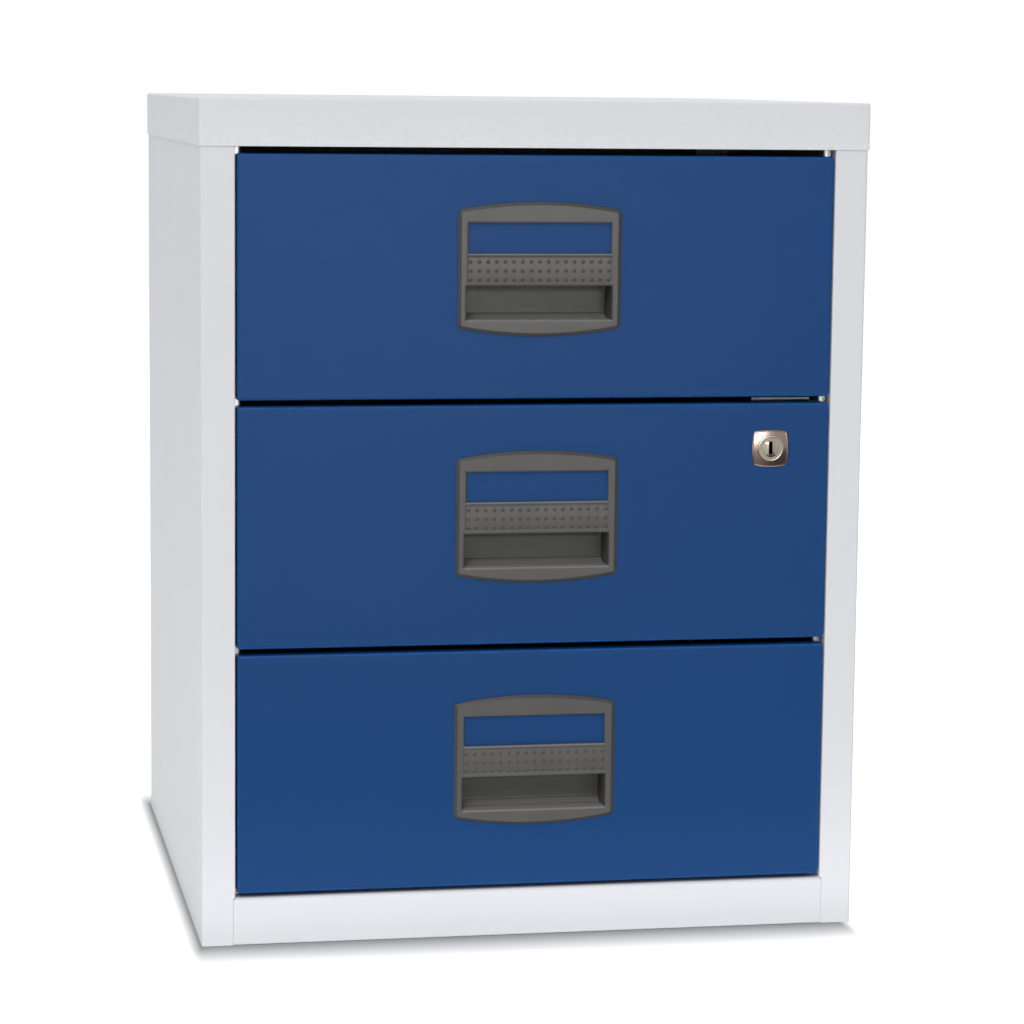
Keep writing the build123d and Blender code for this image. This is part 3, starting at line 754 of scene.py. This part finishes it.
def make_handle(drawer):
    """Covers the front and back of the surround, rolls the rim, and sinks the window and the cup."""
    middle = handle_height(drawer)
    xs, zs = handle_lines()
    x, z = np.meshgrid(xs, zs)
    z[0] = -crown(xs, -crown_low)
    z[-1] = crown(xs, crown_high)
    boxes = [(-window_half, window_low, window_half, window_high), (-cup_half, cup_low, cup_half, cup_high)]
    holes = [in_box(xs, zs, box) for box in boxes]
    keep = ~np.any(holes, axis=0)
    on_band = (z > cup_high) & (z < window_low) & (np.abs(x) < window_half)
    # The pimples get painted shade, the grip band its leathery bumps
    mark = np.where(pimples(x, z) > 0.1 * pimple_height, pimple_shade, on_band)
    skin = Skin()
    front = skin.add(points_at(x, band_sink(x, z) - handle_proud - pimples(x, z), z), mark)
    rear = skin.add(points_at(x, 0.0, z))
    skin.cover(front, keep)
    skin.cover(rear, keep)
    loops = [[hole_loop(layer, hole) for layer in (front, rear)] for hole in holes]
    for pair, box, radius in zip(loops, boxes, (window_corner, cup_corner)):
        for loop in pair:
            round_corners(skin, loop, box, radius)
    roll_rim(skin, border(front), border(rear))
    sink_window(skin, *loops[0])
    in_cup = (zs > cup_low - hair) & (zs < cup_high + hair)
    sink_cup(skin, *loops[1], xs[np.abs(xs) < cup_half + hair], zs[in_cup])
    skin.points += (0, face_y, middle)
    make_piece(f"{drawer}_handle_moulding", skin, "handle_plastic", f"{drawer}_drawer",
               f"{drawer}_drawer_handle")


def roll_rim(skin, loop, rear_loop):
    """A low bead round the face, a slope whose colour is painted darker as shade, and a small round before
    the upright edge.
    """
    bead_out, bead_back = np.array([0.1, 0.22, 0.36]) * mm, np.array([-0.08, -0.08, 0.0]) * mm
    down = np.linspace(0.05, 1, 5)
    slope_out = bead_out[-1] + (handle_rim - 0.3 * mm - bead_out[-1]) * down
    slope_back = (handle_proud - handle_edge) * down
    out = np.r_[bead_out, slope_out, handle_rim - np.array([0.08, 0.0, 0.0]) * mm]
    back = np.r_[bead_back, slope_back, handle_proud - np.array([0.5, 0.3, 0.0]) * mm]
    # Painted shade: mark -1 makes the slope's colour darker
    rim_shade = np.r_[0, 0, -0.2, -np.ones(len(down) + 3)][:, None]
    skin.wrap(fold(skin, loop, out, back, mark=rim_shade), rear_loop)


def lower_side(skin, loop):
    """Picks the points along a hole's lower side, whose lip is painted lighter as a highlight of light from
    above.
    """
    z = skin.points[loop][:, 2]
    return z < z.min() + 0.1 * mm


def sink_window(skin, loop, rear_loop):
    """The window's rounded lip and its wall down to the drawer front."""
    out, back, _ = quarter_turn(window_lip, 4)
    out = np.append(-out, -window_lip)
    back = np.append(back, handle_proud)
    # Painted highlight along the window's lower lip
    painted_light = np.outer([1.4, 1.6, 1.5, 0.0, 0.0], lower_side(skin, loop))
    skin.wrap(fold(skin, loop, out, back, mark=painted_light), rear_loop)


def sink_cup(skin, loop, rear_loop, columns, rows):
    """The cup's lip, its walls with draft, a floor that rises, a back wall, and the shell outside it."""
    wall, lip, depth = 1.5 * mm, 1.2 * mm, 22.0 * mm
    below = lower_side(skin, loop)
    out, back, _ = quarter_turn(lip, 5)
    # Painted highlight along the cup's lower lip
    painted_light = np.outer([1.0, 1.3, 1.5, 1.6, 1.7, 1.8], below)
    mouth = fold(skin, loop, np.append(lip - wall, lip - wall - out), np.append(0, back), mark=painted_light)
    opening = skin.points[mouth]
    top = opening[:, 2].max()
    height = top - opening[:, 2].min()
    half = opening[:, 0].max()
    deep = np.array([0.62, 0.64, 0.66, 0.87, 0.89, 0.90, 0.92])[:, None] * depth
    narrow = np.array([0.4, 0.4, 0.4, 0.6, 0.7, 0.9, 1.6])[:, None] * mm
    rise = np.array([0.2, 0.25, 0.45, 2.5, 2.6, 2.7, 3.1])[:, None] * mm
    x = opening[:, 0] * (1 - narrow / half)
    z = top - (top - opening[:, 2]) * (1 - rise / height) - 0.15 * narrow
    rings = points_at(x, deep - handle_proud, z)
    aside = np.abs(opening[:, 0]) > half - hair
    # Painted light on the cup's floor, which is coloured much lighter than the plastic
    painted_light = np.outer([1.8, 1.8, 1.8, 1.8, 2.0, 1.5, 0.0], below)
    # Painted shade: the cup's side walls are coloured darker
    inside = skin.add(rings, painted_light - np.outer([1.2, 1.2, 1.2, 1.2, 1.0, 0.0, 0.0], aside))
    x, share = np.meshgrid(columns / cup_half, (rows - cup_low) / (cup_high - cup_low))
    corner = 0.5 * mm
    wall_low, wall_high = rings[-1, :, 2].min() + corner, rings[-1, :, 2].max() - corner
    z = wall_low + share * (wall_high - wall_low)
    x *= rings[-1, :, 0].max() - corner
    # Painted shade at the top of the back wall
    shade_there = np.clip((z - wall_high + cup_shade + cup_fade) / cup_fade, 0, 1)
    numbers = skin.add(points_at(x, 0.93 * depth - handle_proud, z), -2.0 * shade_there)
    skin.wrap(mouth, inside, border(numbers))
    skin.cover(numbers)
    skin.zip(fold(skin, rear_loop, [0, -0.6 * mm], [depth - handle_proud - 0.6 * mm, depth - handle_proud]))


for drawer in drawers:
    make_handle(drawer)

# %% [markdown]
# ## Lock
# A cover plate with bowed sides, a round lock head and a turning plug make up the lock. The plate's
# outline is made of arcs, a wide one for each side and a small one for each corner, and its face is a
# low dome. The head is a profile turned about the lock's axis, and the plug's face is spread between the
# keyway's edge and the plug's rim.

# %% Cover plate
plate_bow = 1.2 * mm  # how far each side bows out
plate_corner = 1.0 * mm
plate_dome = 7.2  # fall of the dome per square metre, in metres


def pillow_outline(half):
    """A square with bowed sides and small round corners, and the direction out of it at each point.

    By the direction of its normal: each side is an arc about a far centre, each corner one about a near
    centre, and a point is the centre plus the radius times the normal.
    """
    reach = half - plate_bow
    bow_radius = (reach**2 + plate_bow**2) / (2 * plate_bow)
    swing = math.asin((reach - plate_corner) / (bow_radius - plate_corner))
    on_side = np.linspace(-swing, swing, 17)
    on_corner = np.linspace(swing, math.pi / 2 - swing, 9)[1:-1]
    turn = np.r_[on_side, on_corner]
    radius = np.where(turn <= swing, bow_radius, plate_corner)
    far = half - bow_radius
    near = far + (bow_radius - plate_corner) * np.exp(1j * swing)
    normal = np.exp(1j * turn)
    rim = np.where(turn <= swing, far, near) + radius * normal
    return flat_points(quarters * rim), flat_points(quarters * normal)


def make_cover_plate():
    """Rings from the bore to the pillow outline: a face domed as h - k r², a raised edge and a flat back."""
    low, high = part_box("lock_escutcheon")
    outline, normal = pillow_outline((high.x - low.x) / 2)
    bore = lock_hole * outline / np.linalg.norm(outline, axis=1, keepdims=True)
    inset = np.array([0.95, 0.85, 0.7, 0.4, 0.1, 0.0, 0.0])[:, None, None] * mm
    edge = outline - inset * normal
    face = bore + np.linspace(0, 1, 8)[:, None, None] * (edge[0] - bore)
    dome = 1.6 * mm - plate_dome * ((face**2).sum(axis=-1) - lock_hole**2)
    roll = np.array([1.04, 1.06, 0.92, 0.66, 0.4, 0.0])[:, None] * dome[-1]
    flat = np.concatenate([bore[None], face, edge[1:], bore[None]])
    back = np.zeros((1, len(bore)))
    height = np.concatenate([back, dome, roll, back])
    skin = Skin()
    skin.wrap(skin.add(points_at(lock_place.x + flat[..., 0], high.y - height, lock_place.z + flat[..., 1])))
    make_piece("lock_cover_plate", skin, "lock_chrome", "middle_drawer", "lock_escutcheon",
               finish="plate_nickel")


make_cover_plate()

# %% Lock head and barrel
lock_steps = 96
angle = np.linspace(0, 2 * math.pi, lock_steps, endpoint=False)


def make_lock_head():
    """A profile of radii r and depths y, turned about the lock's axis: (x + r cos a, y, z + r sin a).

    It has the bore, a recessed face, a raised ring, a rounded rim, and a barrel with thread ridges.
    """
    low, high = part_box("lock_housing")
    profile = [(5.25, 0.16), (7.0, 0.16), (7.05, 0.04), (7.3, 0.0), (7.75, 0.0),
               (8.05, 0.12), (8.2, 0.4), (8.2, 1.0), (7.4, 1.0), (7.4, 4.0)]
    radius, depth = np.array(profile).T * mm
    thread = np.arange(low.y + 4.5 * mm, high.y - 2 * mm, 0.5 * mm)
    ridge = np.where(np.arange(len(thread)) % 2, 7.4, 7.05) * mm
    radius = np.r_[radius, ridge, 7.0 * mm, 5.25 * mm]
    y = np.r_[low.y + depth, thread, high.y, high.y]
    rings = points_at(np.outer(radius, np.cos(angle)), y[:, None], np.outer(radius, np.sin(angle)))
    skin = Skin()
    numbers = skin.add(rings + (lock_place.x, 0, lock_place.z))
    skin.wrap(numbers, numbers[:1])
    make_piece("lock_head", skin, "lock_chrome", "middle_drawer", "lock_housing")


make_lock_head()


# %% Plug with its keyway
keyway_half, keyway_tall, keyway_rise = 1.05 * mm, 3.9 * mm, 0.6 * mm


def keyway_edge():
    """A loop round an upright slot that sits a little above the centre, from corner to corner."""
    around = np.linspace(0, 1, lock_steps, endpoint=False)
    corner = [0, 0.2, 0.3, 0.7, 0.8, 1]
    side = np.interp(around, corner, [0, 1, 1, -1, -1, 0]) * keyway_tall
    across = np.interp(around, corner, [1, 1, -1, -1, 1, 1]) * keyway_half
    return np.column_stack([across, side + keyway_rise])


def make_plug():
    """Spreads rings from the keyway's edge to the plug's rim, and sinks the keyway's walls."""
    low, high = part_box("lock_plug")
    slot = keyway_edge()
    rim = 5.15 * mm * np.column_stack([np.cos(angle), np.sin(angle)])
    share = np.array([0, 0, 0.08, 0.22, 0.34, 0.97, 1.0, 1.0, 1.0])
    depth = np.array([11, 0.3, 0.05, 0.05, 0.17, 0.17, 0.2, 15, 31.6]) * mm
    flat = slot + share[:, None, None] * (rim - slot)
    rings = points_at(flat[..., 0], depth[:, None], flat[..., 1])
    # Painted shade: the bottom ring of the keyway is coloured nearly black
    keyway_shade = np.where(share == 0, -1, 0)[:, None]
    skin = Skin()
    skin.close(skin.add(rings + (lock_place.x, low.y, lock_place.z), keyway_shade))
    make_piece("lock_plug_face", skin, "lock_chrome", "lock_core", "lock_plug")


make_plug()

# %% [markdown]
# ## Trays
# Behind each front hangs an open tray of folded sheet steel. Its upper edge is rolled over into a hem,
# so that no cut edge meets the hand. Five flat plates would give a box with sharp corners. Here the
# sheet's section is carried round the tray's outline, as on the lid, and one square of the front wall
# is left out for the finger cup.

# %% Trays
hem_height = 8.0 * mm
hem_cut = 0.15 * mm
tray_corner = 2.0 * mm
cup_fit = 0.3 * mm


def tray_path(half, radius):
    """A rounded rectangle with two more points on its back and front, at the sides of the cup's hole."""
    corner = rounded_rectangle(half.x, half.y, radius).reshape(4, -1, 2)
    ends = np.array([(1, half.y), (-1, half.y)]) * (cup_half + cup_fit, 1)
    return np.concatenate([corner[0], ends, corner[1], corner[2], -ends, corner[3]])


def make_tray(drawer):
    """Carries the section round the path: bend, wall, half circle of the hem, and the way back inside."""
    low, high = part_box(f"{drawer}_drawer_tray")
    centre, half = (low + high) / 2, (high - low) / 2
    cup_rows = handle_height(drawer) + np.array([cup_low - cup_fit, cup_high + cup_fit])
    out, rise, wear_and_highlight = quarter_turn(fold_radius)
    over = np.linspace(0, math.pi, 9)
    inner = np.linspace(0, math.pi / 2, 5)
    inner_radius = fold_radius - sheet
    hem_low = high.z - hem_height
    hem_in = [2 * sheet, 2 * sheet - hem_cut, sheet, sheet, sheet]
    inset = np.r_[fold_radius, fold_radius - out, 0, 0, sheet * (1 - np.cos(over)),
                  hem_in, fold_radius - inner_radius * np.cos(inner)]
    height = np.r_[low.z, low.z + rise, cup_rows, high.z - sheet + sheet * np.sin(over),
                   hem_low + hem_cut, hem_low, hem_low, cup_rows[::-1],
                   low.z + fold_radius - inner_radius * np.sin(inner)]
    # The mark paints the fold and the hem lighter: paint wear and a painted highlight
    mark = np.r_[0, wear_and_highlight, 0, 0, np.sin(over), np.zeros(len(hem_in) + len(inner))]

    def outline(distance):
        """The tray's outline, this much further in."""
        size = half - Vector((distance, distance, 0))
        return tray_path(size, max(tray_corner - distance, hem_cut)) + (centre.x, centre.y)

    skin = Skin()
    numbers = skin.add(carry_round(outline, inset, height), mark[:, None])
    numbers = np.hstack([numbers, numbers[:, :1]])
    outer_row, inner_row = len(out) + 1, len(inset) - len(inner) - 2
    left = 3 * corner_points + 2
    keep = np.ones(np.subtract(numbers.shape, 1), bool)
    keep[[outer_row, inner_row], left] = False
    skin.cover(numbers, keep)
    outer_hole = border(numbers[outer_row:outer_row + 2, left:left + 2])
    inner_hole = border(numbers[inner_row:inner_row + 2, left:left + 2][::-1])
    skin.wrap(outer_hole, inner_hole)
    skin.zip(numbers[0, :-1])
    skin.zip(numbers[-1, :-1])
    make_piece(f"{drawer}_tray_sheet", skin, "tray_paint", f"{drawer}_drawer", f"{drawer}_drawer_tray")


for drawer in drawers:
    make_tray(drawer)

# %% [markdown]
# ## Runners and uprights
# The runners and the uprights that carry them are rolled from zinc-plated strip. Each is one section
# along a straight line, so a helper draws the section once: a middle line with arcs at its bends, and
# the two faces of the strip half a thickness to each side of it.

# %% Folded sections
strip_thickness = 1.2 * mm
strip_bend = 1.5 * mm  # radius of the middle line at a bend


def folded_section(corners, radius=strip_bend, thickness=strip_thickness, steps=6):
    """A closed loop round a folded strip.

    At a bend of angle f the middle line leaves the corner's two lines r tan(f / 2) away from the corner
    and turns on an arc of radius r, which may differ from bend to bend. The loop goes out along one face
    and comes back along the other.
    """
    corners = np.array([complex(*corner) for corner in corners])
    radius = np.reshape(radius, (-1, 1))
    heading = np.unwrap(np.angle(np.diff(corners)))
    bend = np.diff(heading)[:, None]
    start = heading[:-1, None]
    swing = bend * np.linspace(0, 1, steps + 1)
    tangent = radius * np.tan(np.abs(bend) / 2)
    along = radius * np.sin(np.abs(swing)) - tangent
    aside = np.sign(bend) * radius * (1 - np.cos(swing))
    arc = (along + 1j * aside) * np.exp(1j * start)
    line = np.r_[corners[0], (corners[1:-1, None] + arc).ravel(), corners[-1]]
    turned_by = np.r_[heading[0], (start + swing).ravel(), heading[-1]]
    side = thickness / 2 * 1j * np.exp(1j * turned_by)
    return flat_points(np.r_[line + side, (line - side)[::-1]])


def run_strip(skin, section, axis, span):
    """Carries a section along an axis from one place to another and closes both ends."""
    plane = [k for k in range(3) if k != axis]
    rings = np.zeros((2, len(section), 3))
    rings[..., plane] = section
    rings[..., axis] = np.reshape(span, (2, 1))
    skin.close(skin.add(rings))


def make_strip(name, section, axis, span, body, *nodes, finish=None):
    """A piece that is one strip of plated steel."""
    skin = Skin()
    run_strip(skin, section, axis, span)
    make_piece(name, skin, "zinc_plate", body, *nodes, finish=finish)


def make_channel(node, body, web_is_low, across, along):
    """A channel as large as its CAD piece: from a lip's tip to the web, across the web and back out."""
    low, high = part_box(node)
    web, tip = (low.x, high.x) if web_is_low else (high.x, low.x)
    inside = strip_thickness / 2
    web += math.copysign(inside, tip - web)
    first, last = low[across] + inside, high[across] - inside
    section = folded_section([(tip, first), (web, first), (web, last), (tip, last)])
    make_strip(f"{node}_strip", section, along, (low[along], high[along]), body, node)


# %% Uprights and runners
for hand, end in product(hands, ("front", "rear")):
    make_channel(f"{hand}_{end}_upright", "cabinet", hand == "right", across=1, along=2)
for drawer, hand, half in product(drawers, hands, ("outer", "inner")):
    body = "cabinet" if half == "outer" else f"{drawer}_drawer"
    web_is_low = (hand == "left") == (half == "outer")
    make_channel(f"{drawer}_{hand}_{half}_runner", body, web_is_low, across=2, along=1)

# %% [markdown]
# ## Base and plinth
# The base is a sheet that is folded up at the front into the plinth, and back again along a soft bend
# into a ledge under the lowest drawer. Small notches at its lower corners let the bend end cleanly. The
# bend is wide enough to shade from light to dark, so it is carried as a section with its own radius.

# %% Base and plinth
ledge_depth = 11.0 * mm
plinth_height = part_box("bottom_drawer_front")[0].z - 2.6 * mm
plinth_half = 186.35 * mm
notch_width, notch_height = 4.8 * mm, 0.9 * mm
ledge_bend, floor_bend = 2.6 * mm, 0.7 * mm
hairline = 0.02 * mm  # keeps neighbouring strips apart


def make_plinth():
    """Strips side by side: the full fold, a shorter one over each notch, and the floor's sides."""
    low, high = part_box("base_and_plinth")
    inside = sheet / 2
    face, top, floor = low.y + inside, plinth_height - inside, low.z + inside
    ledge = [(low.y + ledge_depth, top), (face, top)]
    whole = folded_section(ledge + [(face, floor), (high.y, floor)], (ledge_bend, floor_bend), sheet)
    short = folded_section(ledge + [(face, low.z + notch_height)], ledge_bend, sheet)
    side = folded_section([(low.y + sheet, floor), (0, floor), (high.y, floor)], floor_bend, sheet)
    notch = plinth_half - notch_width
    skin = Skin()
    run_strip(skin, whole, 0, (-notch, notch))
    for hand in (-1, 1):
        run_strip(skin, short, 0, (hand * (notch + hairline), hand * plinth_half))
        run_strip(skin, side, 0, (hand * (notch + hairline), hand * high.x))
    make_piece("base_and_plinth_sheet", skin, "carcass_paint", "cabinet", "base_and_plinth")


make_plinth()

# %% [markdown]
# ## Rivets
# Rivets hold the outer runners to the uprights and the inner runners to the trays. A rivet is turned: a
# profile of two low domes and a shank goes once round its own axis. All the rivets of a group are one
# array, with the places in its first direction.

# %% Rivets
rivet_shank, rivet_head, rivet_dome = 2.0 * mm, 3.5 * mm, 0.8 * mm
rivet_from_end = 45.0 * mm  # tray rivets from the ends of the inner runner
rivet_steps = 20


def make_rivets(group, body, grip, ends, heights):
    """A profile turned about x at each place: (x + h, y + r cos a, z + r sin a).

    Its radius is R sin b over each dome, and between the domes the shank is as long as the grip.
    """
    low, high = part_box(f"{group}s")
    starts = (low.x + rivet_dome, high.x - rivet_dome - grip)
    places = np.array(list(product(starts, ends, heights)))
    over = np.linspace(0.12, math.pi / 2, 6)
    radius = np.r_[rivet_head * np.sin(over), rivet_shank]
    along = np.r_[-rivet_dome * np.cos(over), 0]
    radius, along = np.r_[radius, radius[::-1]], np.r_[along, grip - along[::-1]]
    turn = np.linspace(0, 2 * math.pi, rivet_steps, endpoint=False)
    rivet = points_at(along[:, None], np.outer(radius, np.cos(turn)), np.outer(radius, np.sin(turn)))
    skin = Skin()
    for rings in skin.add(places[:, None, None] + rivet):
        skin.close(rings)
    make_piece(f"{group}_heads", skin, "zinc_plate", body, f"{group}s")


heights = [middle_of(f"{drawer}_left_outer_runner").z for drawer in drawers]
ends = [middle_of(f"left_{end}_upright").y for end in ("front", "rear")]
make_rivets("upright_rivet", "cabinet", 2 * strip_thickness, ends, heights)
for drawer, height in zip(drawers, heights):
    low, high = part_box(f"{drawer}_left_inner_runner")
    ends = (low.y + rivet_from_end, high.y - rivet_from_end)
    make_rivets(f"{drawer}_tray_rivet", f"{drawer}_drawer", strip_thickness + sheet, ends, [height])

# %% [markdown]
# ## Lip of the locking bar
# In the gap above the lock a strip of plated steel shows. It is the turned-up lip on the arm that the
# lock's cam lifts. The CAD model holds the arm, and this strip lies on it and ends just behind the fold
# of the drawer front.

# %% Lip of the locking bar
arm_drop = 1.5 * mm  # arm's top below the drawer front's upper edge
lip_left, lip_right = 139.5 * mm, 177.0 * mm
lip_lap, lip_rise = 8.0 * mm, 2.4 * mm
behind_fold = 9.0 * mm
front_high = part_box("middle_drawer_front")[1]
arm_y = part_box("locking_bar")[0].y
lip_y = front_high.y + behind_fold + strip_thickness / 2
lip_z = front_high.z - arm_drop + strip_thickness / 2
section = folded_section([(arm_y + lip_lap, lip_z), (lip_y, lip_z), (lip_y, lip_z + lip_rise)])
make_strip("locking_bar_lip", section, 0, (lip_left, lip_right), "locking_bar", finish="dull_steel")

# %% [markdown]
# ## Colour view
# The last line sets the Standard view transform, so that colours render as they are written.

# %% Colour view
bpy.context.scene.view_settings.view_transform = "Standard"
